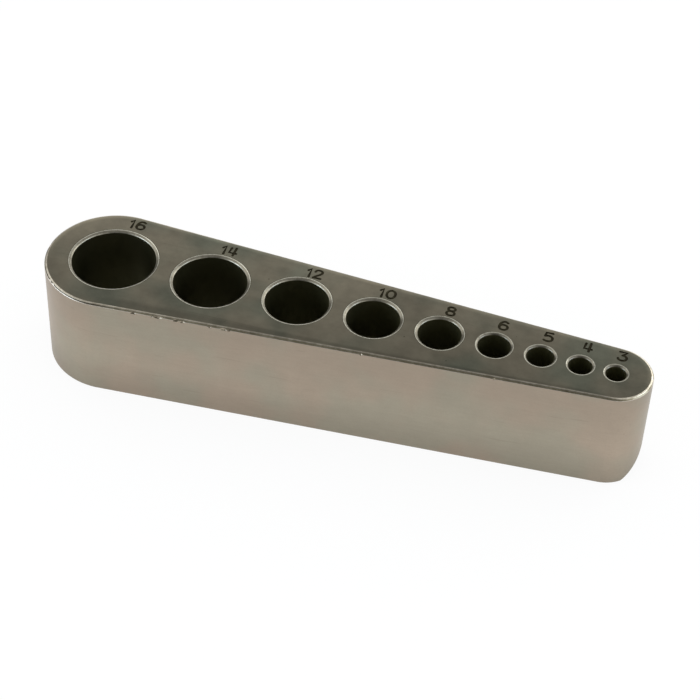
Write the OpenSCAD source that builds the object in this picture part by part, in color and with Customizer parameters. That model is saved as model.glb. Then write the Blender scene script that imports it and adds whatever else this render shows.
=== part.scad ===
// A tap guide: one block of hardened steel with a row of plain bores, from the M16 size down to M3.
// A tap stands in the bore of its own size, which holds it square to the work while its thread starts.
// The underside is flat for flat work, and has a V-groove along its middle that sits on round work.
// Millimetres. The underside lies on z = 0, the bores run along Z and their row runs along X,
// with the large end at -X. The origin is the middle of the footprint's box.

/* [Bores] */
// Diameter of the bore for M16 taps
bore_16_d = 16.1; // [15.6:0.05:16.8]
// Diameter of the bore for M14 taps
bore_14_d = 14.1; // [13.6:0.05:14.75]
// Diameter of the bore for M12 taps
bore_12_d = 12.15; // [11.6:0.05:12.8]
// Diameter of the bore for M10 taps
bore_10_d = 10.15; // [9.6:0.05:10.8]
// Diameter of the bore for M8 taps
bore_8_d = 8.15; // [7.8:0.05:8.6]
// Diameter of the bore for M6 taps
bore_6_d = 6.15; // [5.8:0.05:6.6]
// Diameter of the bore for M5 taps
bore_5_d = 5.15; // [4.8:0.05:5.6]
// Diameter of the bore for M4 taps, whose shank is thicker than their thread
bore_4_d = 4.4; // [4.0:0.05:4.8]
// Diameter of the bore for M3 taps, whose shank is thicker than their thread
bore_3_d = 3.75; // [3.2:0.05:4.2]

/* [Lands between the bores] */
// Steel left between the M16 and M14 bores
land_16_14 = 4.4; // [3.5:0.05:6]
// Steel left between the M14 and M12 bores
land_14_12 = 4.15; // [3.2:0.05:6]
// Steel left between the M12 and M10 bores
land_12_10 = 3.8; // [3:0.05:6]
// Steel left between the M10 and M8 bores
land_10_8 = 3.7; // [2.8:0.05:5]
// Steel left between the M8 and M6 bores
land_8_6 = 3.3; // [2.5:0.05:5]
// Steel left between the M6 and M5 bores
land_6_5 = 3.1; // [2.2:0.05:4]
// Steel left between the M5 and M4 bores
land_5_4 = 2.75; // [2:0.05:4]
// Steel left between the M4 and M3 bores
land_4_3 = 2.6; // [1.8:0.05:4]

/* [Block] */
// Height of the block, which is the length that guides a tap
block_h = 22.2; // [18:0.1:36]
// Wall left outside the M16 bore by the large round end
large_end_wall = 5.2; // [4.4:0.1:7]
// Wall left outside the M3 bore by the small round end
small_end_wall = 5.1; // [4.6:0.1:7]
// Width of the 45 degree bevel round the top edge
top_bevel = 0.35; // [0.2:0.05:1.2]
// Width of the 45 degree bevel round the bottom edge
bottom_bevel = 0.15; // [0.1:0.05:0.6]

/* [V-groove] */
// Width of the groove where it opens in the underside
groove_w = 10.8; // [6:0.1:11.4]
// Angle between the two walls of the groove, in degrees
groove_angle = 90; // [80:1:110]

/* [Countersinks] */
// Width of the bevelled ring round the M16 to M8 bores
large_rim_w = 0.55; // [0.2:0.05:0.9]
// Width of the bevelled ring round the M6 to M3 bores
small_rim_w = 0.4; // [0.2:0.05:0.7]
// Angle of the countersinks' cone from side to side, in degrees
rim_angle = 120; // [80:1:130]

/* [Hidden] */
$fn = 96;

// Cuts run this far past the faces that they open
overrun = 1;

// The bores and what lies between them, from the large end to the small end
bores = [bore_16_d, bore_14_d, bore_12_d, bore_10_d, bore_8_d, bore_6_d, bore_5_d, bore_4_d, bore_3_d];
lands = [land_16_14, land_14_12, land_12_10, land_10_8, land_8_6, land_6_5, land_5_4, land_4_3];
first = 0;
last = len(bores) - 1;
// The first bores of the row, M16 to M8, have the wide rim
large_rims = 5;

// Distance of a bore's axis from the M16 bore's axis: half of each bore and the land, added up along the row
function station(i) =
    i == first ? 0 : station(i - 1) + bores[i - 1] / 2 + lands[i - 1] + bores[i] / 2;

// The round ends lie round the end bores, and the flanks are tangent to both
large_end_r = bore_16_d / 2 + large_end_wall;
small_end_r = bore_3_d / 2 + small_end_wall;
row_l = station(last);
taper = asin((large_end_r - small_end_r) / row_l);
flank_l = row_l * cos(taper);

// The flanks lie this little inside the true tangents, so they cross the round ends and don't graze them
flank_inset = 0.02;

// The footprint's box is centred on the origin
block_l = large_end_r + row_l + small_end_r;
large_end_x = large_end_r - block_l / 2;

groove_h = groove_w / 2 / tan(groove_angle / 2);

// Half section across the block, from an inner line at 0 out to a face at reach, with both edges bevelled
function edge_section(reach) = [
    [0, 0],
    [reach - bottom_bevel, 0],
    [reach, bottom_bevel],
    [reach, block_h - top_bevel],
    [reach - top_bevel, block_h],
    [0, block_h],
];

// A round end: the section turned about the axis of an end bore
module round_end(r) {
    rotate_extrude()
        polygon(edge_section(r));
}

// Form cutter for the flank on the +Y side: it leaves the section's face and bevels, and takes what is outside
module flank_cutter() {
    reach = large_end_r - flank_inset;
    rotate([0, 0, -taper])
        translate([-overrun, 0, 0])
            rotate([90, 0, 90])
                linear_extrude(height = flank_l + 2 * overrun)
                    polygon([
                        [reach - bottom_bevel - overrun, -overrun],
                        [reach, bottom_bevel],
                        [reach, block_h - top_bevel],
                        [reach - top_bevel - overrun, block_h + overrun],
                        [2 * reach, block_h + overrun],
                        [2 * reach, -overrun],
                    ]);
}

// The straight part between the round ends: a bar from tangent point to tangent point, cut on both sides
module middle() {
    difference() {
        translate([large_end_r * sin(taper), -large_end_r, 0])
            cube([flank_l * cos(taper), 2 * large_end_r, block_h]);
        flank_cutter();
        mirror([0, 1, 0]) flank_cutter();
    }
}

// The block before it is drilled, with the axis of its M16 bore on the Z axis
module blank() {
    round_end(large_end_r);
    middle();
    translate([row_l, 0, 0]) round_end(small_end_r);
}

// A bore right through, with the countersink that breaks its upper edge
module bore(d, rim_w) {
    rim_h = rim_w / tan(rim_angle / 2);
    over_w = overrun * tan(rim_angle / 2);
    translate([0, 0, -overrun])
        cylinder(h = block_h + 2 * overrun, d = d);
    translate([0, 0, block_h - rim_h])
        cylinder(h = rim_h + overrun, r1 = d / 2, r2 = d / 2 + rim_w + over_w);
}

// The V-groove, from end to end of the underside
module groove() {
    over_w = overrun * tan(groove_angle / 2);
    translate([-large_end_r - overrun, 0, 0])
        rotate([90, 0, 90])
            linear_extrude(height = block_l + 2 * overrun)
                polygon([
                    [-groove_w / 2 - over_w, -overrun],
                    [groove_w / 2 + over_w, -overrun],
                    [0, groove_h],
                ]);
}

module guide_block() {
    color("#8f887c")
        translate([large_end_x, 0, 0])
            difference() {
                blank();
                for (i = [first : last])
                    translate([station(i), 0, 0])
                        bore(bores[i], i < large_rims ? large_rim_w : small_rim_w);
                groove();
            }
}

guide_block();
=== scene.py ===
# %% [markdown]
# A tap guide block in hardened steel.
# The real object is one block of steel, 118 mm long, with nine plain bores in a row. A tap stands in the bore
# of its own size, and the block keeps it square to the work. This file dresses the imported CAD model: it makes
# the block again with the small things that the eye looks for, which are rounded edges, engraved numbers and
# a few nicks, and gives it a steel finish made of nodes. The dimensions stay those of the CAD model.

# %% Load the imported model
import math

import bmesh
import bpy
from mathutils import Matrix, Vector, noise


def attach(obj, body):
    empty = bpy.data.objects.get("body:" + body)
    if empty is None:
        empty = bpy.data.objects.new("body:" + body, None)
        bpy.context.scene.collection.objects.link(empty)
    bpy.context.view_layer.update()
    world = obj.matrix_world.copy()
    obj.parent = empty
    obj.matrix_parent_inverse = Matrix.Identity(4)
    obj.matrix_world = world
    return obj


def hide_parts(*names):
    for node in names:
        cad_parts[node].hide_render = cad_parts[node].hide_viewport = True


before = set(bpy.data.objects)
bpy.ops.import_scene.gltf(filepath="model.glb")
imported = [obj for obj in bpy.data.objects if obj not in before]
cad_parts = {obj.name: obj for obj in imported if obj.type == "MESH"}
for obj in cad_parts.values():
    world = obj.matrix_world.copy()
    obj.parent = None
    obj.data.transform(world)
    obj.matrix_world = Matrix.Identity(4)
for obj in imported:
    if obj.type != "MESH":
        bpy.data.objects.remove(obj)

bpy.context.view_layer.update()

# %% [markdown]
# Sizes are easiest to read in millimetres, and Blender works in metres, so one factor turns the first into
# the second. These are the same values as in the CAD source, since the dressed block lies in the same place.

# %% The block's sizes
MM = 0.001

block_h = 22.2 * MM
end_wall_large = 5.2 * MM
end_wall_small = 5.1 * MM
top_bevel = 0.35 * MM
bottom_bevel = 0.15 * MM
groove_w = 10.8 * MM
rim_angle = math.radians(120)

# Each bore: the number beside it, its diameter, the width of its countersink, the steel up to the next bore
BORES = [
    ("16", 16.10, 0.55, 4.40),
    ("14", 14.10, 0.55, 4.15),
    ("12", 12.15, 0.55, 3.80),
    ("10", 10.15, 0.55, 3.70),
    ("8", 8.15, 0.55, 3.30),
    ("6", 6.15, 0.40, 3.10),
    ("5", 5.15, 0.40, 2.75),
    ("4", 4.40, 0.40, 2.60),
    ("3", 3.75, 0.40, 0.00),
]
print("%d bores in a block %.1f mm high" % (len(BORES), block_h / MM))

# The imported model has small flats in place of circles, so its box is a hair smaller than the true circles
hair = 0.01 * MM
large_r = BORES[0][1] / 2 * MM + end_wall_large - hair
small_r = BORES[-1][1] / 2 * MM + end_wall_small - hair

# %% Where the bores stand along the row
stations = [0.0]
for (_, here, _, land), (_, there, _, _) in zip(BORES, BORES[1:]):
    stations.append(stations[-1] + (here / 2 + land + there / 2) * MM)
row_l = stations[-1]
block_l = large_r + row_l + small_r
first_x = large_r - block_l / 2
bore_x = [first_x + station for station in stations]
taper = math.asin((large_r - small_r) / row_l)
print("block %.2f mm long, flanks at %.2f degrees" % (block_l / MM, math.degrees(taper)))
print("bores at x =", [round(x / MM, 2) for x in bore_x])

# %% [markdown]
# The camera comes early, so that every later step can be looked at from the right place. The photograph looks
# down on the block at 44 degrees, a little from its small end, through a long lens, and is turned by a few
# degrees about the line of sight. A camera is built from just that: turn to the heading, tip, then roll.

# %% The camera
camera_at = Vector((73.16, -272.88, 283.94)) * MM
heading = math.radians(14.679)
look_down = math.radians(43.892)
roll = math.radians(2.685)

lens = bpy.data.cameras.new("camera")
lens.sensor_width = 36
lens.lens = 105.68
lens.clip_start = 0.01
lens.clip_end = 20
camera = bpy.data.objects.new("camera", lens)
bpy.context.collection.objects.link(camera)
camera.matrix_world = (
    Matrix.Translation(camera_at)
    @ Matrix.Rotation(heading, 4, "Z")
    @ Matrix.Rotation(math.pi / 2 - look_down, 4, "X")
    @ Matrix.Rotation(roll, 4, "Z")
)
bpy.context.scene.camera = camera
print("camera %.0f mm from the origin" % (camera_at.length / MM))

# %% [markdown]
# A few small helpers serve the whole file. One makes an object from a mesh, one bakes an object's modifiers
# into its mesh, and one adds a node to a tree with its settings and its links. The last is all that Geometry
# Nodes and materials need: a node's input gets either a plain value or the output of another node.

# %% Helpers for objects
def new_object(name, mesh):
    thing = bpy.data.objects.new(name, mesh)
    bpy.context.collection.objects.link(thing)
    return thing


def bake(thing):
    """Turns what an object's modifiers make into a plain mesh. A curve can't hold one, so it makes way."""
    seen = thing.evaluated_get(bpy.context.evaluated_depsgraph_get())
    mesh = bpy.data.meshes.new_from_object(seen)
    if thing.type != "MESH":
        solid = new_object(thing.name + "_solid", mesh)
        bpy.data.objects.remove(thing)
        return solid
    thing.modifiers.clear()
    thing.data = mesh
    return thing


def open_edges(thing):
    """Edges that don't have exactly two faces. A closed solid has none."""
    work = bmesh.new()
    work.from_mesh(thing.data)
    count = sum(len(edge.link_faces) != 2 for edge in work.edges)
    work.free()
    return count


def combine(solid, other, operation, tangled=False):
    """Cuts one solid by another, or keeps what they share. A tangled solid has parts that overlap."""
    step = solid.modifiers.new("combine", "BOOLEAN")
    step.operation = operation
    step.solver = "EXACT"
    step.use_self = tangled
    step.object = other
    bake(solid)
    print("%s: %d faces, %d open edges" % (other.name, len(solid.data.polygons), open_edges(solid)))
    bpy.data.objects.remove(other)


def prism(name, section, start_x, end_x):
    """A closed section in the YZ plane, drawn along X."""
    work = bmesh.new()
    near = [work.verts.new((start_x, y, z)) for y, z in section]
    far = [work.verts.new((end_x, y, z)) for y, z in section]
    work.faces.new(near)
    work.faces.new(far)
    for i in range(len(section)):
        j = (i + 1) % len(section)
        work.faces.new([near[i], near[j], far[j], far[i]])
    bmesh.ops.recalc_face_normals(work, faces=work.faces)
    mesh = bpy.data.meshes.new(name)
    work.to_mesh(mesh)
    work.free()
    return new_object(name, mesh)


# %% Helpers for node trees
# Settings that many nodes share
ADD = {"operation": "ADD"}
SUBTRACT = {"operation": "SUBTRACT"}
MULTIPLY = {"operation": "MULTIPLY"}
MULTIPLY_ADD = {"operation": "MULTIPLY_ADD"}
DIVIDE = {"operation": "DIVIDE"}
ABSOLUTE = {"operation": "ABSOLUTE"}
MAXIMUM = {"operation": "MAXIMUM"}
LENGTH = {"operation": "LENGTH"}
GREATER = {"operation": "GREATER_THAN"}
STRAIGHT = {"interpolation_type": "LINEAR"}
SMOOTH = {"interpolation_type": "SMOOTHSTEP"}
NUMBERS = {"data_type": "FLOAT"}
COLOURS = {"data_type": "RGBA"}


def add(tree, kind, settings=None, **inputs):
    """Adds one node. A keyword names an input by its label, or by its number as in i0."""
    node = tree.nodes.new(kind)
    for key, value in (settings or {}).items():
        setattr(node, key, value)
    for key, value in inputs.items():
        socket = node.inputs[int(key[1:]) if key[1:].isdigit() else key.replace("_", " ")]
        if isinstance(value, bpy.types.NodeSocket):
            tree.links.new(value, socket)
        elif isinstance(value, list):
            for output in value:
                tree.links.new(output, socket)
        else:
            socket.default_value = value
    return node


def new_shape_tree(name, sizes):
    """A Geometry Nodes tree with named sizes for inputs, and its Group Input node."""
    tree = bpy.data.node_groups.new(name, "GeometryNodeTree")
    tree.interface.new_socket("Geometry", in_out="INPUT", socket_type="NodeSocketGeometry")
    for label, kind in sizes.items():
        tree.interface.new_socket(label, in_out="INPUT", socket_type=kind)
    tree.interface.new_socket("Geometry", in_out="OUTPUT", socket_type="NodeSocketGeometry")
    return tree, tree.nodes.new("NodeGroupInput")


def run_tree(thing, tree, values):
    """Puts the tree on an object, sets its inputs by their identifiers, and bakes the result."""
    step = thing.modifiers.new(tree.name, "NODES")
    step.node_group = tree
    ids = {item.name: item.identifier for item in tree.interface.items_tree if item.in_out == "INPUT"}
    for label, value in values.items():
        step[ids[label]] = value
    return bake(thing)


# %% [markdown]
# The blank. The block is made like a tapered bar with a turned end round its first and last bore. Each end is
# a stack of arcs: a square section gets its bevels, then a small round on every corner, and each point of
# that section carries an arc of its own radius at its own height. Two such stacks and a skin stretched over
# them give the whole blank with tangent flanks. Its shape follows a rule, so Geometry Nodes make it.

# %% A turned end as a stack of arcs
def turned_end(tree, radius, sizes, arc_start, arc_sweep, arc_points):
    """Every length is a socket, so that the tree's inputs drive it."""
    height, bevel_top, bevel_bottom, edge_round, lip_round = sizes
    width = add(tree, "ShaderNodeMath", MULTIPLY, i0=radius, i1=2.0).outputs[0]
    half_h = add(tree, "ShaderNodeMath", MULTIPLY, i0=height, i1=0.5).outputs[0]
    section = add(tree, "GeometryNodeCurvePrimitiveQuadrilateral", Width=width, Height=height).outputs[0]
    point = add(tree, "GeometryNodeInputPosition").outputs[0]
    corner = add(tree, "ShaderNodeSeparateXYZ", Vector=point).outputs

    # The upper corners get the top bevel, the lower ones the bottom bevel
    is_top = add(tree, "FunctionNodeCompare", GREATER, i0=corner["Y"], i1=0.0).outputs[0]
    by_level = {"False": bevel_bottom, "True": bevel_top}
    bevel = add(tree, "GeometryNodeSwitch", {"input_type": "FLOAT"}, Switch=is_top, **by_level).outputs[0]
    bevelled = add(
        tree, "GeometryNodeFilletCurve", {"mode": "POLY"}, Curve=section, Count=1, Radius=bevel
    ).outputs[0]

    # Every corner is rounded, and the bevel's upper one, by the top face, has a larger round of its own
    lip_level = add(tree, "ShaderNodeMath", MULTIPLY_ADD, i0=bevel_top, i1=-0.5, i2=half_h).outputs[0]
    is_lip = add(tree, "FunctionNodeCompare", GREATER, i0=corner["Y"], i1=lip_level).outputs[0]
    by_level = {"False": edge_round, "True": lip_round}
    bend = add(tree, "GeometryNodeSwitch", {"input_type": "FLOAT"}, Switch=is_lip, **by_level).outputs[0]
    softened = add(
        tree, "GeometryNodeFilletCurve", {"mode": "POLY"}, Curve=bevelled, Count=4, Radius=bend
    ).outputs[0]

    # Each point keeps how far out it lies, moves onto the axis, and carries an arc of that radius
    reach = add(tree, "ShaderNodeMath", ABSOLUTE, i0=corner["X"]).outputs[0]
    kept = add(tree, "GeometryNodeCaptureAttribute", {"domain": "POINT"})
    kept.capture_items.new("FLOAT", "reach")
    tree.links.new(softened, kept.inputs[0])
    tree.links.new(reach, kept.inputs["reach"])
    level = add(tree, "ShaderNodeMath", ADD, i0=corner["Y"], i1=half_h).outputs[0]
    above = add(tree, "ShaderNodeCombineXYZ", Z=level).outputs[0]
    on_axis = add(tree, "GeometryNodeSetPosition", Geometry=kept.outputs[0], Position=above).outputs[0]
    arc = add(
        tree, "GeometryNodeCurveArc", {"mode": "RADIUS"},
        Resolution=arc_points, Radius=1.0, Start_Angle=arc_start, Sweep_Angle=arc_sweep,
    ).outputs[0]
    reach = kept.outputs["reach"]
    size = add(tree, "ShaderNodeCombineXYZ", X=reach, Y=reach, Z=1.0).outputs[0]
    stack = add(tree, "GeometryNodeInstanceOnPoints", Points=on_axis, Instance=arc, Scale=size).outputs[0]
    return add(tree, "GeometryNodeRealizeInstances", Geometry=stack).outputs[0]


# %% The blank's tree: two ends and a skin
BLANK_SIZES = [
    "Large end radius", "Small end radius", "Row length", "Height", "Top bevel", "Bottom bevel",
    "Edge round", "Lip round", "Large arc start", "Small arc start", "First x",
]
large_arc_points = 96
small_arc_points = 72

blank_tree, given = new_shape_tree(
    "blank", {**dict.fromkeys(BLANK_SIZES, "NodeSocketFloat"), "Steel": "NodeSocketMaterial"}
)
given = given.outputs
shared = [given[label] for label in ("Height", "Top bevel", "Bottom bevel", "Edge round", "Lip round")]

# The small end's arc runs from its start to the same angle on the other side of the row. The large end's arc
# goes round by the back, so its sweep is a full turn less twice its start.
small_sweep = add(blank_tree, "ShaderNodeMath", MULTIPLY, i0=given["Small arc start"], i1=-2.0).outputs[0]
large_sweep = add(blank_tree, "ShaderNodeMath", MULTIPLY, i0=given["Large arc start"], i1=-2.0).outputs[0]
large_sweep = add(blank_tree, "ShaderNodeMath", ADD, i0=large_sweep, i1=2 * math.pi).outputs[0]
large_end = turned_end(
    blank_tree, given["Large end radius"], shared, given["Large arc start"], large_sweep, large_arc_points
)
small_end = turned_end(
    blank_tree, given["Small end radius"], shared, given["Small arc start"], small_sweep, small_arc_points
)
along_row = add(blank_tree, "ShaderNodeCombineXYZ", X=given["Row length"]).outputs[0]
small_end = add(blank_tree, "GeometryNodeTransform", Geometry=small_end, Translation=along_row).outputs[0]
both_ends = add(blank_tree, "GeometryNodeJoinGeometry", Geometry=[large_end, small_end]).outputs[0]
skin = add(blank_tree, "GeometryNodeConvexHull", Geometry=both_ends).outputs[0]
to_middle = add(blank_tree, "ShaderNodeCombineXYZ", X=given["First x"]).outputs[0]
in_place = add(blank_tree, "GeometryNodeTransform", Geometry=skin, Translation=to_middle).outputs[0]
plain = add(blank_tree, "GeometryNodeRealizeInstances", Geometry=in_place).outputs[0]
coated = add(blank_tree, "GeometryNodeSetMaterial", Geometry=plain, Material=given["Steel"]).outputs[0]
add(blank_tree, "NodeGroupOutput", Geometry=coated)
print("blank tree: %d nodes" % len(blank_tree.nodes))

# %% [markdown]
# On the real block the ends were turned and the flanks milled, and a faint line shows where the two meet. So
# each arc stops a little short of the true tangent point, and the skin meets it at a small angle.

# %% Make the blank
edge_round = 0.20 * MM
lip_round = 0.45 * MM
crease = math.radians(2.5)
tangent = math.pi / 2 - taper

steel = bpy.data.materials.new("hardened_steel_satin_ground")
block = run_tree(
    new_object("guide_block_dressed", bpy.data.meshes.new("blank")),
    blank_tree,
    {
        "Large end radius": large_r,
        "Small end radius": small_r,
        "Row length": row_l,
        "Height": block_h,
        "Top bevel": top_bevel,
        "Bottom bevel": bottom_bevel,
        "Edge round": edge_round,
        "Lip round": lip_round,
        "Large arc start": tangent + crease,
        "Small arc start": -(tangent - crease),
        "First x": first_x,
        "Steel": steel,
    },
)

# A skin can come with doubled points. They are merged, and every face is turned outwards.
doubled = 1e-7
work = bmesh.new()
work.from_mesh(block.data)
bmesh.ops.remove_doubles(work, verts=work.verts, dist=doubled)
bmesh.ops.recalc_face_normals(work, faces=work.faces)
work.to_mesh(block.data)
work.free()
print("blank: %d faces, %d open edges" % (len(block.data.polygons), open_edges(block)))

# %% [markdown]
# The numbers. Each bore is marked with its tap's size, cut by an engraving machine whose small rotating tool
# follows the strokes of each figure. So a figure is a set of strokes, and its cutter is the tool's section
# swept along them, with a round plunge where a stroke starts and ends. Geometry Nodes do both. The figures
# are plain ones, drawn here on a box that is 1 high.

# %% Strokes of the figures
# A stroke is (is it smooth?, points). Straight strokes turn sharply at their points.
FIGURES = {
    "1": (0.24, [(False, [(0.22, 0.0), (0.22, 1.0), (0.0, 0.76)])]),
    "2": (0.66, [
        (True, [(0.02, 0.74), (0.10, 0.93), (0.33, 1.0), (0.57, 0.92), (0.63, 0.72), (0.50, 0.50),
                (0.24, 0.26), (0.0, 0.0)]),
        (False, [(0.0, 0.0), (0.66, 0.0)]),
    ]),
    "3": (0.70, [
        (False, [(0.06, 1.0), (0.66, 1.0), (0.32, 0.60)]),
        (True, [(0.32, 0.60), (0.58, 0.54), (0.70, 0.32), (0.60, 0.09), (0.35, 0.0), (0.12, 0.05),
                (0.0, 0.20)]),
    ]),
    "4": (0.68, [
        (False, [(0.12, 0.92), (0.04, 0.30), (0.68, 0.30)]),
        (False, [(0.52, 1.0), (0.46, 0.0)]),
    ]),
    "5": (0.68, [
        (False, [(0.62, 1.0), (0.08, 1.0), (0.04, 0.58)]),
        (True, [(0.04, 0.58), (0.30, 0.66), (0.58, 0.56), (0.68, 0.33), (0.58, 0.09), (0.32, 0.0),
                (0.0, 0.08)]),
    ]),
    "6": (0.70, [
        (True, [(0.64, 0.90), (0.42, 1.0), (0.14, 0.86), (0.0, 0.46), (0.07, 0.13), (0.36, 0.0), (0.62, 0.11),
                (0.70, 0.34), (0.58, 0.54), (0.34, 0.60), (0.10, 0.50), (0.01, 0.34)]),
    ]),
    "8": (0.66, [
        (True, [(0.33, 0.54), (0.08, 0.64), (0.06, 0.88), (0.33, 1.0), (0.60, 0.88), (0.58, 0.64),
                (0.33, 0.54), (0.06, 0.42), (0.0, 0.22), (0.12, 0.04), (0.33, 0.0), (0.54, 0.04),
                (0.66, 0.22), (0.60, 0.42), (0.33, 0.54)]),
    ]),
    "0": (0.72, [
        (True, [(0.36, 1.0), (0.10, 0.84), (0.0, 0.50), (0.10, 0.16), (0.36, 0.0), (0.62, 0.16), (0.72, 0.50),
                (0.62, 0.84), (0.36, 1.0)]),
    ]),
}
print("%d figures drawn" % len(FIGURES))

figure_h = 2.25 * MM
figure_gap = 0.36
stroke_w = 0.54 * MM
stroke_depth = 0.17 * MM

# Where the middle of each number lies beside its bore: (along the row, across the row), in mm
NUMBER_AT = {
    "16": (0.80, 10.82),
    "14": (0.72, 9.32),
    "12": (0.95, 8.30),
    "10": (0.75, 7.28),
    "8": (0.55, 6.36),
    "6": (0.44, 5.70),
    "5": (0.36, 5.36),
    "4": (0.38, 5.02),
    "3": (0.31, 4.66),
}

# %% Lay the strokes out as one curve
def number_strokes(label, middle_x, middle_y):
    """Every stroke of a number in metres, with its middle at the given place on the top face."""
    widths = [FIGURES[figure][0] for figure in label]
    pen = -(sum(widths) + figure_gap * (len(label) - 1)) / 2
    strokes = []
    for figure, width in zip(label, widths):
        for smooth, points in FIGURES[figure][1]:
            laid = [(middle_x + (pen + u) * figure_h, middle_y + (v - 0.5) * figure_h) for u, v in points]
            strokes.append((smooth, laid))
        pen += width + figure_gap
    return strokes


strokes = []
for x, (label, _, _, _) in zip(bore_x, BORES):
    along, across = NUMBER_AT[label]
    strokes += number_strokes(label, x + along * MM, across * MM)

# The tool's widest ring lies a hair above the face, so that no point of it falls exactly on the face
tool_level = block_h + 0.012 * MM
paths = bpy.data.curves.new("number_strokes", "CURVE")
paths.dimensions = "3D"
paths.resolution_u = 5
for smooth, points in strokes:
    spline = paths.splines.new("BEZIER")
    spline.bezier_points.add(len(points) - 1)
    for handle, (x, y) in zip(spline.bezier_points, points):
        handle.co = (x, y, tool_level)
        handle.handle_left_type = handle.handle_right_type = "AUTO" if smooth else "VECTOR"
engraver = new_object("number_cutter", paths)
print("%d strokes in %d numbers" % (len(strokes), len(BORES)))

# %% Sweep the engraving tool along the strokes
tool_tree, given = new_shape_tree(
    "engraving",
    {"Stroke width": "NodeSocketFloat", "Depth": "NodeSocketFloat", "Steel": "NodeSocketMaterial"},
)
given = given.outputs

# The section is a flat hexagon: the stroke's width at the face, and half of it at the tool's tip. It is the
# same above the face and below it, so it doesn't matter which way up the sweep turns it.
half_stroke = add(tool_tree, "ShaderNodeMath", MULTIPLY, i0=given["Stroke width"], i1=0.5).outputs[0]
hexagon = add(
    tool_tree, "GeometryNodeCurvePrimitiveCircle", {"mode": "RADIUS"}, Resolution=6, Radius=half_stroke
).outputs[0]
sine = math.sin(math.radians(60))
half_h = add(tool_tree, "ShaderNodeMath", MULTIPLY, i0=half_stroke, i1=sine).outputs[0]
flatten = add(tool_tree, "ShaderNodeMath", DIVIDE, i0=given["Depth"], i1=half_h).outputs[0]
flatten = add(tool_tree, "ShaderNodeCombineXYZ", X=1.0, Y=flatten, Z=1.0).outputs[0]
section = add(tool_tree, "GeometryNodeTransform", Geometry=hexagon, Scale=flatten).outputs[0]
upright = add(
    tool_tree, "GeometryNodeSetCurveNormal", {"mode": "Z_UP"}, Curve=given["Geometry"]
).outputs[0]
swept = add(
    tool_tree, "GeometryNodeCurveToMesh", Curve=upright, Profile_Curve=section, Fill_Caps=True
).outputs[0]

# The plunge is the same tool turned on the spot: a skin over three rings
ring_points = 14
tip_r = add(tool_tree, "ShaderNodeMath", MULTIPLY, i0=half_stroke, i1=0.5).outputs[0]
rings = []
for radius, level in ((half_stroke, 0.0), (tip_r, 1.0), (tip_r, -1.0)):
    ring = add(tool_tree, "GeometryNodeMeshCircle", Vertices=ring_points, Radius=radius).outputs[0]
    level = add(tool_tree, "ShaderNodeMath", MULTIPLY, i0=given["Depth"], i1=level).outputs[0]
    level = add(tool_tree, "ShaderNodeCombineXYZ", Z=level).outputs[0]
    rings.append(add(tool_tree, "GeometryNodeTransform", Geometry=ring, Translation=level).outputs[0])
rings = add(tool_tree, "GeometryNodeJoinGeometry", Geometry=rings).outputs[0]
tip = add(tool_tree, "GeometryNodeConvexHull", Geometry=rings).outputs[0]
is_end = add(tool_tree, "GeometryNodeCurveEndpointSelection", Start_Size=1, End_Size=1).outputs[0]
plunges = add(
    tool_tree, "GeometryNodeInstanceOnPoints", Points=upright, Selection=is_end, Instance=tip
).outputs[0]
joined = add(tool_tree, "GeometryNodeJoinGeometry", Geometry=[swept, plunges]).outputs[0]
plain = add(tool_tree, "GeometryNodeRealizeInstances", Geometry=joined).outputs[0]
coated = add(tool_tree, "GeometryNodeSetMaterial", Geometry=plain, Material=given["Steel"]).outputs[0]
add(tool_tree, "NodeGroupOutput", Geometry=coated)
print("engraving tree: %d nodes" % len(tool_tree.nodes))

# %% Engrave the numbers
engraver = run_tree(
    engraver, tool_tree, {"Stroke width": stroke_w, "Depth": stroke_depth, "Steel": steel}
)
print("number cutter: %d faces, %d open edges" % (len(engraver.data.polygons), open_edges(engraver)))

# The strokes overlap. What they share with a slab that holds them all is one clean solid, and it is cut out.
slab_w = 20 * MM
slab_h = 2 * MM
slab_section = [(y * slab_w, block_h + z * slab_h) for y, z in ((-1, -1), (1, -1), (1, 1), (-1, 1))]
slab = prism("slab", slab_section, -block_l, block_l)
combine(slab, engraver, "INTERSECT", tangled=True)
combine(block, slab, "DIFFERENCE")

# %% [markdown]
# The nicks. A block like this lies in a drawer with other tools, and its front top edge has small chips. Each
# is cut with a lump of stone-like shape, which is a ball that smooth noise has pushed in and out. The noise
# is read at fixed places, so every run cuts the same chips.

# %% Chip the front top edge
# A nick: (place along the block, its length, how deep it bites), in mm
NICKS = [
    (-37.1, 1.3, 0.16),
    (-33.6, 0.7, 0.12),
    (-32.2, 1.9, 0.20),
    (-28.9, 1.0, 0.15),
    (-27.6, 1.2, 0.18),
    (-22.3, 0.9, 0.14),
    (-19.7, 1.5, 0.17),
    (-18.7, 0.6, 0.12),
    (6.4, 0.8, 0.10),
    (31.2, 0.7, 0.10),
]
lump_y = 0.42
lump_z = 0.34
lump_shrinks = 0.10
lump_depth = 0.35
lump_scale = 1.4
next_lump = 3.7


def flank_y(x):
    """Distance of the flank's outer face from the row's line, at a place along the block."""
    return (large_r - (x - first_x) * math.sin(taper)) / math.cos(taper)


for number, (x, length, bite) in enumerate(NICKS):
    work = bmesh.new()
    bmesh.ops.create_icosphere(work, subdivisions=3, radius=1.0)
    size = Vector((length / 2, lump_y, lump_z)) * MM
    out = flank_y(x * MM) + size.y - (bite + lump_shrinks) * MM
    centre = Vector((x * MM, -out, block_h - top_bevel))
    for vert in work.verts:
        spot = vert.co * lump_scale + Vector((number * next_lump, 0, 0))
        lump = 1 + lump_depth * noise.noise(spot)
        vert.co = centre + Vector([lump * a * b for a, b in zip(vert.co, size)])
    mesh = bpy.data.meshes.new("nick")
    work.to_mesh(mesh)
    work.free()
    combine(block, new_object("nick_cutter", mesh), "DIFFERENCE")

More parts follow.
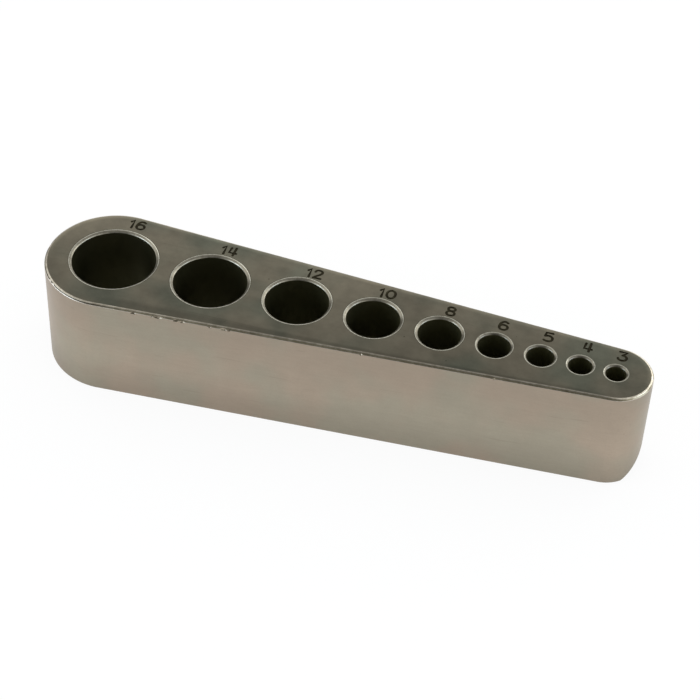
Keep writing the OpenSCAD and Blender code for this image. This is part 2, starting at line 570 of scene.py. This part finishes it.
# %% [markdown]
# The bores. A bore is drilled and reamed, and a countersink breaks its upper edge at 120 degrees. Its cutter
# is a lathe shape: a profile turned about the bore's axis. Where two lines of the profile meet, a small round
# is put in, because no real edge is perfectly sharp, and such an edge catches a thin line of light.

# %% A rounded corner in a profile
def rounded(before, corner, after, radius, steps):
    """Points of a small arc in place of a corner. A point is (distance from the axis, height)."""
    a = (Vector(before) - Vector(corner)).normalized()
    b = (Vector(after) - Vector(corner)).normalized()
    half = a.angle(b) / 2
    centre = Vector(corner) + (a + b).normalized() * (radius / math.sin(half))
    start = Vector(corner) + a * (radius / math.tan(half)) - centre
    turn = start.angle_signed(Vector(corner) + b * (radius / math.tan(half)) - centre)
    return [tuple(centre + Matrix.Rotation(-turn * i / steps, 2) @ start) for i in range(steps + 1)]


def lathe(name, profile, x, segments):
    """Turns a profile about a vertical axis at x. The profile runs from the axis out and back to the axis."""
    work = bmesh.new()
    rings = []
    for radius, height in profile:
        if radius < 1e-9:
            rings.append([work.verts.new((x, 0, height))])
            continue
        ring = []
        for i in range(segments):
            angle = 2 * math.pi * i / segments
            ring.append(work.verts.new((x + radius * math.cos(angle), radius * math.sin(angle), height)))
        rings.append(ring)
    for low, high in zip(rings, rings[1:]):
        for i in range(segments):
            j = (i + 1) % segments
            corners = [low[i % len(low)], low[j % len(low)], high[j % len(high)], high[i % len(high)]]
            work.faces.new(list(dict.fromkeys(corners)))
    bmesh.ops.recalc_face_normals(work, faces=work.faces)
    mesh = bpy.data.meshes.new(name)
    work.to_mesh(mesh)
    work.free()
    return new_object(name, mesh)


# %% Cut the bores
overrun = 1.0 * MM
outer_round = 0.60 * MM
inner_round = 0.30 * MM
round_steps = 4
carried_on = 0.2 * MM
large_bore_sides = 128
small_bore_sides = 96
widest_rim = BORES[0][2] * MM


def bore_profile(radius, rim_w):
    rim_h = rim_w / math.tan(rim_angle / 2)
    lip = (radius + rim_w, block_h)
    foot = (radius, block_h - rim_h)
    outside = (radius + rim_w + overrun, block_h)
    below = (radius, 0.0)
    outer = rounded(outside, lip, foot, outer_round * rim_w / widest_rim, round_steps)
    inner = rounded(lip, foot, below, inner_round, round_steps)
    # The outermost chord is carried on upwards at its own slope, so that it crosses the top face cleanly
    (x0, z0), (x1, z1) = outer[0], outer[1]
    slope = (z0 - z1) / (x0 - x1)
    over = (x0 + carried_on, z0 + carried_on * slope)
    top = (over[0], block_h + overrun)
    return [(0.0, top[1]), top, over] + outer[1:] + inner + [(radius, -overrun), (0.0, -overrun)]


for x, (label, diameter, rim_w, _) in zip(bore_x, BORES):
    segments = large_bore_sides if diameter > 8 else small_bore_sides
    profile = bore_profile(diameter / 2 * MM, rim_w * MM)
    combine(block, lathe("cutter_" + label, profile, x, segments), "DIFFERENCE")

# %% [markdown]
# The V-groove runs from end to end of the underside and lets the block sit on round bar. Its cutter is a
# three-sided prism.

# %% Cut the V-groove
half_w = groove_w / 2
groove_section = [(-half_w - overrun, -overrun), (half_w + overrun, -overrun), (0, half_w)]
groove_cutter = prism("groove_cutter", groove_section, -block_l / 2 - overrun, block_l / 2 + overrun)
combine(block, groove_cutter, "DIFFERENCE")

# %% [markdown]
# Shading. Flat faces stay flat and the small rounds shade smoothly when each corner's normal leans to its
# largest face, which the Weighted Normal modifier does. Edges sharper than 25 degrees stay sharp, and so do
# the four upright lines where the flanks meet the round ends.

# %% Tidy the mesh and mark its sharp edges
nearly_doubled = 2e-7
flank_area = 500 * MM * MM
sharp_angle = math.radians(25)

work = bmesh.new()
work.from_mesh(block.data)
bmesh.ops.remove_doubles(work, verts=work.verts, dist=nearly_doubled)
for face in work.faces:
    face.smooth = True
lines = 0
for edge in work.edges:
    if len(edge.link_faces) != 2:
        edge.smooth = False
        continue
    upright = abs(edge.verts[0].co.z - edge.verts[1].co.z) > block_h / 2
    flank = max(face.calc_area() for face in edge.link_faces) > flank_area
    edge.smooth = edge.calc_face_angle() < sharp_angle and not (upright and flank)
    lines += upright and flank
work.to_mesh(block.data)
work.free()
print("%d upright flank lines, %d open edges" % (lines, open_edges(block)))

weigh = block.modifiers.new("weighted_normals", "WEIGHTED_NORMAL")
weigh.mode = "FACE_AREA"
weigh.weight = 60
weigh.keep_sharp = True
bake(block)

# %% [markdown]
# The areas of the block. The steel is the same everywhere, but each area was finished or worn in its own way,
# and some areas are painted lighter or darker as painted highlight and painted shade, so each gets a mark on
# its faces that the material can read: the ground top, the edge's lip, bevel and lower round, the countersinks'
# rim, cone and throat, the bores, the engraved marks, the nicks and the underside.

# %% How far a point lies inside the outline
def flank_distance(point):
    """The outline is the path of a circle that shrinks along the row, so the nearest such circle tells."""
    along = min(max(((point.x - first_x) - abs(point.y) * math.tan(taper)) / row_l, 0.0), 1.0)
    middle = Vector((first_x + along * row_l, 0))
    radius = large_r + (small_r - large_r) * along
    return radius - (Vector((point.x, point.y)) - middle).length


# %% Name the areas on the mesh's faces
AREAS = ["top", "bevel", "lip", "cone", "throat", "rim", "edge", "bore", "mark", "nick", "below"]
cone_tilt = math.cos(math.pi / 2 - rim_angle / 2)
bevel_tilt = math.sqrt(0.5)
edge_zone_w = 1.0 * MM
edge_zone_h = 1.2 * MM

# How far a face may lie from where its area is, in parts or multiples of a tenth of a millimetre
margin = 0.1 * MM


def area_of(face):
    """The area that a face belongs to, from its place and from how much it looks up."""
    centre, up = face.center, face.normal.z
    gap, rim_w = min(
        (math.hypot(centre.x - x, centre.y) - diameter / 2 * MM, rim_w * MM)
        for x, (_, diameter, rim_w, _) in zip(bore_x, BORES)
    )
    level = centre.z - block_h
    inside = flank_distance(centre)
    if gap < 0.2 * margin and level < -0.5 * margin and abs(up) < 0.2:
        return "bore"
    # A countersink's upper round is its rim, and the lower round of a wide one is its throat
    if gap < rim_w + margin and level > -6 * margin and abs(up) < 0.999:
        if up > cone_tilt + 0.04:
            return "rim"
        return "throat" if rim_w > 5 * margin and up < cone_tilt - 0.02 else "cone"
    if up > 0.9999 and level > -0.1 * margin:
        return "top"
    if up < -0.5:
        return "below"
    if level > -4 * margin and inside > edge_zone_w:
        return "mark"
    # A nick's faces lie inside the flank, the top face and the bevel all at once
    bitten = min(inside, -level, (inside - level - top_bevel) * bevel_tilt)
    if level > -1.5 * MM and bitten > 0.3 * margin:
        return "nick"
    if level > -edge_zone_h and abs(up) > 0.1:
        return "bevel" if abs(up - bevel_tilt) < 0.01 else ("lip" if up > bevel_tilt else "edge")
    return "side"


found = [area_of(face) for face in block.data.polygons]
for area in AREAS:
    layer = block.data.attributes.new(area, "FLOAT", "FACE")
    layer.data.foreach_set("value", [float(name == area) for name in found])
print({area: found.count(area) for area in AREAS + ["side"]})

# %% [markdown]
# The finish. The block is hardened tool steel. Its flanks were ground and then lightly tumbled, so they are
# satin and a little warm. The top was ground too and is faintly mottled, and its tones are painted darker than
# the flanks' as painted shade. The bores keep the black skin of the hardening bath, and the edges that tools
# rub are bright; the rim and throat of each countersink are also painted lighter as painted highlight, and its
# cone darker as painted shade. Steel is a metal, so the base colour is the colour of its reflection, and most
# of the look comes from how roughness and small stains vary over the surface.

# %% Colours
def srgb(code):
    """A colour written as sRGB hex, turned to the linear values that a shader works with."""
    values = [int(code[i:i + 2], 16) / 255 for i in (1, 3, 5)]
    return tuple(v / 12.92 if v <= 0.04045 else ((v + 0.055) / 1.055) ** 2.4 for v in values) + (1.0,)


# Each area's two tones, the pattern that mixes them, and its roughness
FINISH = {
    "side": ("#ad9e8d", "#a79f8e", "blotch", 0.40),
    # The top's tones are painted shade, darker than the flanks' though it is the same steel
    "top": ("#7d7767", "#6c6d5f", "blotch", 0.44),
    "bevel": ("#aea588", "#9c9377", "wear", 0.36),
    "lip": ("#9e988b", "#8c8678", "wear", 0.36),
    # The cone's tones are painted shade, and the throat's and the rim's painted highlight besides their rubbed
    # brightness
    "cone": ("#918d7f", "#847f72", "wear", 0.32),
    "throat": ("#b0ac9b", "#9d9988", "wear", 0.32),
    "rim": ("#d6d4c4", "#c2bfae", "wear", 0.30),
    "edge": ("#aaa398", "#999287", "wear", 0.36),
    "bore": ("#5c5a40", "#56543a", "blotch", 0.45),
    # The engraved marks hold dark oxide, and their dark tone is also painted shade for the narrow grooves
    "mark": ("#403c2c", "#332f22", "wear", 0.55),
    "nick": ("#aba18f", "#8f8675", "wear", 0.34),
    "below": ("#8f8577", "#82786b", "blotch", 0.42),
}
print("%d areas have a finish" % len(FINISH))

# %% [markdown]
# The patterns are noise of real sizes. The marks of a grinding wheel's grit are 0.02 to 0.05 mm wide, which
# is too fine to show here, so the grain is drawn at 0.35 mm and the rub marks, long along the row, at 0.5 mm.

# %% Hardened steel, satin ground: patterns
# Each pattern: the size of its features in mm, its finer layers, how strong these are, and its scale along
# the row, where a small one draws the features out
PATTERNS = {
    "tints": (14.0, 2.0, 0.5, 1.0),
    "clouds": (5.0, 4.0, 0.6, 1.0),
    "scuffs": (0.9, 4.0, 0.6, 1.0),
    "grain": (0.35, 3.0, 0.6, 1.0),
    "rubbed": (0.5, 4.0, 0.65, 0.06),
    "lines": (0.7, 1.0, 0.5, 0.035),
}

steel.use_nodes = True
tree = steel.node_tree
tree.nodes.clear()
place = add(tree, "ShaderNodeTexCoord").outputs["Object"]
pattern = {}
for name, (size, layers, strength, along) in PATTERNS.items():
    drawn_out = add(tree, "ShaderNodeMapping", Vector=place, Scale=(along, 1.0, 1.0)).outputs[0]
    pattern[name] = add(
        tree, "ShaderNodeTexNoise", Vector=drawn_out, Scale=1 / (size * MM), Detail=layers, Roughness=strength
    ).outputs["Fac"]
blend = {
    "blotch": add(tree, "ShaderNodeMapRange", SMOOTH, i0=pattern["tints"], i1=0.38, i2=0.62).outputs[0],
    "wear": add(tree, "ShaderNodeMapRange", SMOOTH, i0=pattern["scuffs"], i1=0.40, i2=0.60).outputs[0],
}
print("%d patterns" % len(pattern))

# %% The colour and roughness of each area
mask = {area: add(tree, "ShaderNodeAttribute", {"attribute_name": area}).outputs["Fac"] for area in AREAS}
for area, (light_tone, dark_tone, mixed_by, rough) in FINISH.items():
    tones = {"i6": srgb(light_tone), "i7": srgb(dark_tone)}
    tone = add(tree, "ShaderNodeMix", COLOURS, i0=blend[mixed_by], **tones).outputs[2]
    if area == "side":
        colour, roughness = tone, rough
        continue
    colour = add(tree, "ShaderNodeMix", COLOURS, i0=mask[area], i6=colour, i7=tone).outputs[2]
    roughness = add(tree, "ShaderNodeMix", NUMBERS, i0=mask[area], i2=roughness, i3=rough).outputs[0]
print("steel so far: %d nodes" % len(tree.nodes))

# %% [markdown]
# A band of painted shade darkens the top face just behind its front edge. That band follows the edge, so
# the material works out how far a point lies inside the outline. The outline is the path of a circle that
# shrinks as it moves along the row. The nearest such circle to a point has its centre a little back, by the
# flanks' slope.

# %% The same distance inside the outline, in nodes
spot = add(tree, "ShaderNodeSeparateXYZ", Vector=place).outputs
across = add(tree, "ShaderNodeMath", ABSOLUTE, i0=spot["Y"]).outputs[0]
along = add(tree, "ShaderNodeMath", SUBTRACT, i0=spot["X"], i1=first_x).outputs[0]
foot = add(tree, "ShaderNodeMath", MULTIPLY_ADD, i0=across, i1=-math.tan(taper), i2=along).outputs[0]
foot = add(tree, "ShaderNodeClamp", Value=foot, Min=0.0, Max=row_l).outputs[0]
circle_r = add(tree, "ShaderNodeMapRange", i0=foot, i1=0.0, i2=row_l, i3=large_r, i4=small_r).outputs[0]
beyond = add(tree, "ShaderNodeMath", SUBTRACT, i0=along, i1=foot).outputs[0]
offset = add(tree, "ShaderNodeCombineXYZ", X=beyond, Y=across).outputs[0]
from_centre = add(tree, "ShaderNodeVectorMath", LENGTH, i0=offset).outputs["Value"]
inside = add(tree, "ShaderNodeMath", SUBTRACT, i0=circle_r, i1=from_centre).outputs[0]
print("steel so far: %d nodes" % len(tree.nodes))

# %% Strips along the edges of the top face
# The painted shade strip behind the front edge gets narrower towards the small end. The back edge has a pale
# strip of painted highlight.
narrower = add(tree, "ShaderNodeMapRange", i0=spot["X"], i1=-25 * MM, i2=15 * MM, i3=0.75, i4=1.6).outputs[0]
scaled = add(tree, "ShaderNodeMath", MULTIPLY, i0=inside, i1=narrower).outputs[0]

# A strip: its factor, and its limits, each as what it follows, where it starts and where it is full, in mm
STRIPS = [
    # Painted shade behind the front edge
    (0.74, [
        (inside, 0.5, 0.8), (scaled, 2.4, 1.3), (spot["Y"], 1, -3),
        (spot["X"], -50, -40), (spot["X"], 55, 48),
    ]),
    # Painted highlight along the back edge
    (1.5, [(inside, 1.5, 0.5), (spot["Y"], -4, 3)]),
]
factors = []
for factor, limits in STRIPS:
    strip = mask["top"]
    for follows, starts, full in limits:
        limit = add(tree, "ShaderNodeMapRange", SMOOTH, i0=follows, i1=starts * MM, i2=full * MM).outputs[0]
        strip = add(tree, "ShaderNodeMath", MULTIPLY, i0=strip, i1=limit).outputs[0]
    factors.append(add(tree, "ShaderNodeMapRange", i0=strip, i3=1.0, i4=factor).outputs[0])
print("%d strips" % len(STRIPS))

# %% [markdown]
# The tone also changes slowly along the block. The whole block is darker low down, as painted shade for the
# floor's shadow that its foot mirrors, and the flanks are darker towards their top. The top face is darker
# towards the small end and the front and lighter towards the back, as painted shade and light, and the
# countersinks are darker towards the small end. The narrow bores there are painted lighter, as painted light
# where little light gets into them. The lip and lower round of the round ends are painted lighter as painted
# highlight, and the bevel round the large end is much darker.

# %% Slow changes along the block
# A change: its area, the axis, from where to where in mm, and the factor at either
CHANGES = [
    # Painted shade: the whole block is darker low down, for the floor's shadow that its foot mirrors
    ("all", "Z", 0, 10, 0.88, 1.0, SMOOTH),
    # The flanks are darker towards their top
    ("flank", "Z", 7, block_h / MM, 1.0, 0.84, SMOOTH),
    # Painted highlight on the lip and the lower round at both round ends
    ("lip", "X", -12, -42, 1.0, 1.65, SMOOTH),
    ("lip", "X", 51, 55, 1.0, 2.6, SMOOTH),
    ("edge", "X", -12, -42, 1.0, 2.1, SMOOTH),
    ("edge", "X", 51, 55, 1.0, 1.9, SMOOTH),
    # The bevel is much darker round the large end
    ("bevel", "X", -36, -48, 1.0, 0.2, SMOOTH),
    # Painted shade and light on the top face: darker towards the small end and the front, lighter at the back
    ("top", "X", -8, 16, 1.0, 0.84, SMOOTH),
    ("top", "Y", -9, 9, 0.87, 1.13, STRAIGHT),
    # The countersinks are darker towards the small end
    ("cone", "X", -10, 35, 1.0, 0.85, STRAIGHT),
    ("throat", "X", -10, 35, 1.0, 0.85, STRAIGHT),
    ("rim", "X", -10, 35, 1.0, 0.85, STRAIGHT),
    # Painted light in the narrow bores of the small end, where little light gets in
    ("bore", "X", -40, 45, 1.0, 2.2, STRAIGHT),
]
mask["all"] = 1.0
mask["flank"] = add(tree, "ShaderNodeMapRange", i0=inside, i1=0.10 * MM, i2=0.05 * MM).outputs[0]
for area, axis, start, end, at_start, at_end, shape in CHANGES:
    change = add(
        tree, "ShaderNodeMapRange", shape, i0=spot[axis], i1=start * MM, i2=end * MM, i3=at_start, i4=at_end
    ).outputs[0]
    factors.append(add(tree, "ShaderNodeMix", NUMBERS, i0=mask[area], i2=1.0, i3=change).outputs[0])
print("%d slow changes" % len(CHANGES))

# %% [markdown]
# Three kinds of small stain are left: soft clouds, most of all on the top face, faint scratches along the
# row, and a few pits. Each is one more factor, as the strips and the slow changes are.

# %% Clouds, faint scratches and pits
cloud_side = 0.03
cloud_top = 0.17
scratch_tone = 0.92
pit_tone = 0.55
pit_spacing = 2.2 * MM

cloud_depth = add(tree, "ShaderNodeMapRange", i0=mask["top"], i3=cloud_side, i4=cloud_top).outputs[0]
cloudy = add(tree, "ShaderNodeMapRange", i0=pattern["clouds"], i1=0.3, i2=0.7, i3=-1.0, i4=1.0).outputs[0]
factors.append(add(tree, "ShaderNodeMath", MULTIPLY_ADD, i0=cloudy, i1=cloud_depth, i2=1.0).outputs[0])
scratch = add(tree, "ShaderNodeMapRange", SMOOTH, i0=pattern["lines"], i1=0.71, i2=0.77).outputs[0]
factors.append(add(tree, "ShaderNodeMapRange", i0=scratch, i3=1.0, i4=scratch_tone).outputs[0])

# The pits are small dark dots in the top face, a few to the square centimetre: most cells of the pattern have
# none, and the rest have one in their middle
cells = add(tree, "ShaderNodeTexVoronoi", Vector=place, Scale=1 / pit_spacing).outputs
pit = add(tree, "ShaderNodeMapRange", SMOOTH, i0=cells["Distance"], i1=0.10, i2=0.05).outputs[0]
rare = add(tree, "ShaderNodeSeparateXYZ", Vector=cells["Color"]).outputs["X"]
rare = add(tree, "ShaderNodeMapRange", i0=rare, i1=0.68, i2=0.72).outputs[0]
for share in (rare, mask["top"]):
    pit = add(tree, "ShaderNodeMath", MULTIPLY, i0=pit, i1=share).outputs[0]
factors.append(add(tree, "ShaderNodeMapRange", i0=pit, i3=1.0, i4=pit_tone).outputs[0])
print("%d factors of the tone" % len(factors))

# %% [markdown]
# The grain makes the steel look ground. It changes the roughness, the tone and, through a bump 0.02 mm high,
# the slope of the surface. A satin ground steel has a roughness of about 0.3 to 0.45. Metallic is 1, and the
# IOR keeps its default, since a metal's reflection takes its strength and hue from the base colour.

# %% Grain, and the shader
grain_rough = 0.05
grain_tone = 0.05
bump_height = 0.02 * MM

uneven = add(tree, "ShaderNodeMix", NUMBERS, i0=0.5, i2=pattern["grain"], i3=pattern["rubbed"]).outputs[0]
limits = {"i0": uneven, "i1": 0.3, "i2": 0.7}
rougher = add(tree, "ShaderNodeMapRange", SMOOTH, **limits, i3=-grain_rough, i4=grain_rough).outputs[0]
roughness = add(tree, "ShaderNodeMath", ADD, i0=roughness, i1=rougher).outputs[0]
shade = add(tree, "ShaderNodeMapRange", SMOOTH, **limits, i3=1 - grain_tone, i4=1 + grain_tone).outputs[0]
for factor in factors:
    shade = add(tree, "ShaderNodeMath", MULTIPLY, i0=shade, i1=factor).outputs[0]
shaded = add(tree, "ShaderNodeVectorMath", {"operation": "SCALE"}, Vector=colour, Scale=shade).outputs[0]
bump = add(tree, "ShaderNodeBump", Strength=0.2, Distance=bump_height, Height=uneven).outputs[0]
shader = add(
    tree, "ShaderNodeBsdfPrincipled", Base_Color=shaded, Metallic=1.0, Roughness=roughness, Normal=bump
).outputs[0]
add(tree, "ShaderNodeOutputMaterial", Surface=shader)
block.data.materials.clear()
block.data.materials.append(steel)
print("steel: %d nodes, %d factors" % (len(tree.nodes), len(factors)))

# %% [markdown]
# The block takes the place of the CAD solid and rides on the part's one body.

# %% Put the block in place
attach(block, "root")
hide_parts("guide_block")
print("%s: %d faces, rides on root" % (block.name, len(block.data.polygons)))

# %% [markdown]
# The room is a white sweep, as in a product photograph. The floor looks white to the camera at a strength of
# 1, which is plain white, and so does the world. Other rays see a plain pale floor, and a part of that is
# mixed into what the camera and the steel see, so the block still stands in its own soft shadow. Under the
# block the paper is covered, so there it glows for no ray, and the bores look as dark as they do on a table.

# %% A white floor that keeps a shadow
def sees_white(tree, by_camera, by_steel):
    """How much of the plain white a ray sees: one share for the camera, one for what mirrors or refracts."""
    rays = add(tree, "ShaderNodeLightPath").outputs
    mirrored = add(tree, "ShaderNodeMath", MAXIMUM, i0=rays["Is Glossy Ray"], i1=rays["Is Transmission Ray"])
    mirrored = add(tree, "ShaderNodeMath", MULTIPLY, i0=mirrored.outputs[0], i1=by_steel).outputs[0]
    direct = add(tree, "ShaderNodeMath", MULTIPLY, i0=rays["Is Camera Ray"], i1=by_camera).outputs[0]
    return add(tree, "ShaderNodeMath", MAXIMUM, i0=direct, i1=mirrored).outputs[0]


# %% White paper, matt
# Matt paper has no gloss, so the eye sees no reflection in it, only the soft shadow
camera_share = 0.9
steel_share = 0.3
shadow_soft = 5 * MM
foot_inset = 1 * MM

paper = bpy.data.materials.new("white_paper_floor")
paper.use_nodes = True
tree = paper.node_tree
tree.nodes.clear()
white_share = sees_white(tree, camera_share, steel_share)

# How far a point of the floor lies outside the block's foot, which is the path of a circle that shrinks
spot = add(tree, "ShaderNodeSeparateXYZ", Vector=add(tree, "ShaderNodeTexCoord").outputs["Object"]).outputs
nearest = add(tree, "ShaderNodeClamp", Value=spot["X"], Min=first_x, Max=first_x + row_l).outputs[0]
radii = {"i3": large_r - foot_inset, "i4": small_r - foot_inset}
covered_r = add(tree, "ShaderNodeMapRange", i0=nearest, i1=first_x, i2=first_x + row_l, **radii).outputs[0]
beyond = add(tree, "ShaderNodeMath", SUBTRACT, i0=spot["X"], i1=nearest).outputs[0]
offset = add(tree, "ShaderNodeCombineXYZ", X=beyond, Y=spot["Y"]).outputs[0]
from_row = add(tree, "ShaderNodeVectorMath", LENGTH, i0=offset).outputs["Value"]
outside = add(tree, "ShaderNodeMath", SUBTRACT, i0=from_row, i1=covered_r).outputs[0]
uncovered = add(tree, "ShaderNodeMapRange", i0=outside, i1=-shadow_soft, i2=0.0).outputs[0]
white_share = add(tree, "ShaderNodeMath", MULTIPLY, i0=white_share, i1=uncovered).outputs[0]

matt = add(tree, "ShaderNodeBsdfDiffuse", Color=srgb("#f6f6f4")).outputs[0]
glow = add(tree, "ShaderNodeEmission", Color=srgb("#ffffff"), Strength=1.0).outputs[0]
mixed = add(tree, "ShaderNodeMixShader", i0=white_share, i1=matt, i2=glow).outputs[0]
add(tree, "ShaderNodeOutputMaterial", Surface=mixed)
print("paper: %d nodes" % len(tree.nodes))

# %% The sheet of paper
half = 3.0
sheet = bpy.data.meshes.new("floor")
corners = [(-half, -half, 0), (half, -half, 0), (half, half, 0), (-half, half, 0)]
sheet.from_pydata(corners, [], [(0, 1, 2, 3)])
sheet.materials.append(paper)
floor = new_object("floor", sheet)
print("floor %.0f m wide" % (2 * half))

# %% [markdown]
# What steel looks like is mostly what it mirrors. This room has bright walls on the left, on the right and
# low at the back, a dimmer ceiling, a dark doorway at the back on the left, and in front the dark side where
# the camera stands. That is why the flanks look pale, the top dark, and the front bevel darker still. The
# directions are fixed in the room, so the steel changes as a real one does from place to place.

# %% The world
around_level = 0.95
ceiling_level = 0.55

# A part of the room: its level, and its limits, each as the axis of the direction, where the part starts and
# where it is full. A later part lies over the ones before it.
ROOM = {
    "camera side": (0.10, [("Y", 0.0, -0.55)]),
    "right wall": (0.85, [("X", 0.35, 0.75)]),
    "left wall": (1.0, [("X", -0.20, -0.70), ("Y", 0.70, 0.35)]),
    "doorway": (0.12, [("X", -0.35, -0.60), ("Y", 0.35, 0.60)]),
    "back wall": (1.2, [("Y", 0.70, 0.92), ("Z", 0.60, 0.25)]),
}

world = bpy.data.worlds.new("studio")
world.use_nodes = True
tree = world.node_tree
tree.nodes.clear()
towards = add(tree, "ShaderNodeTexCoord").outputs["Generated"]
way = add(tree, "ShaderNodeSeparateXYZ", Vector=towards).outputs
level = ceiling_level
for there, limits in ROOM.values():
    share = 1.0
    for axis, starts, full in limits:
        limit = add(tree, "ShaderNodeMapRange", SMOOTH, i0=way[axis], i1=starts, i2=full).outputs[0]
        share = add(tree, "ShaderNodeMath", MULTIPLY, i0=share, i1=limit).outputs[0]
    level = add(tree, "ShaderNodeMix", NUMBERS, i0=share, i2=level, i3=there).outputs[0]

# The camera sees white in every direction, and rays that only light the scene see one plain level
to_camera = add(tree, "ShaderNodeLightPath").outputs["Is Camera Ray"]
level = add(tree, "ShaderNodeMath", MAXIMUM, i0=level, i1=to_camera).outputs[0]
around = add(tree, "ShaderNodeBackground", Color=srgb("#ffffff"), Strength=around_level).outputs[0]
room = add(tree, "ShaderNodeBackground", Color=srgb("#ffffff"), Strength=level).outputs[0]
mixed = add(tree, "ShaderNodeMixShader", i0=sees_white(tree, 1.0, 1.0), i1=around, i2=room).outputs[0]
add(tree, "ShaderNodeOutputWorld", Surface=mixed)
bpy.context.scene.world = world
print("%d parts of the room" % len(ROOM))

# %% [markdown]
# Four soft lamps light it at a plain level. The key lamp behind the block is what the left part of every
# countersink mirrors. Two more stand on the left, and the one on the right runs round the bevel of the small
# end. The two low ones are a little blue, as daylight from a window is beside warm walls.

# %% Lamps
def lamp(name, at, size, watts, tint="#ffffff"):
    """A square area lamp that faces the block. Its place and size are in mm."""
    light = bpy.data.lights.new(name, "AREA")
    light.color = srgb(tint)[:3]
    light.shape = "SQUARE"
    light.size = size * MM
    light.energy = watts
    thing = new_object(name, light)
    thing.location = Vector(at) * MM
    thing.rotation_euler = (-Vector(at)).to_track_quat("-Z", "Y").to_euler()
    print("%s lamp: %.2f W" % (name, watts))


lamp("key", (330, 430, 330), 300, 0.50)
lamp("left", (-420, 220, 460), 300, 0.25)
lamp("low_left", (-450, -250, 150), 300, 0.96, "#d0e4ff")
lamp("right", (520, 40, 270), 260, 0.60, "#d0e4ff")

# %% [markdown]
# View transform Standard shows colours as they are written. The dressed block has to stay inside the CAD box.

# %% View
bpy.context.scene.view_settings.view_transform = "Standard"
bpy.context.view_layer.update()
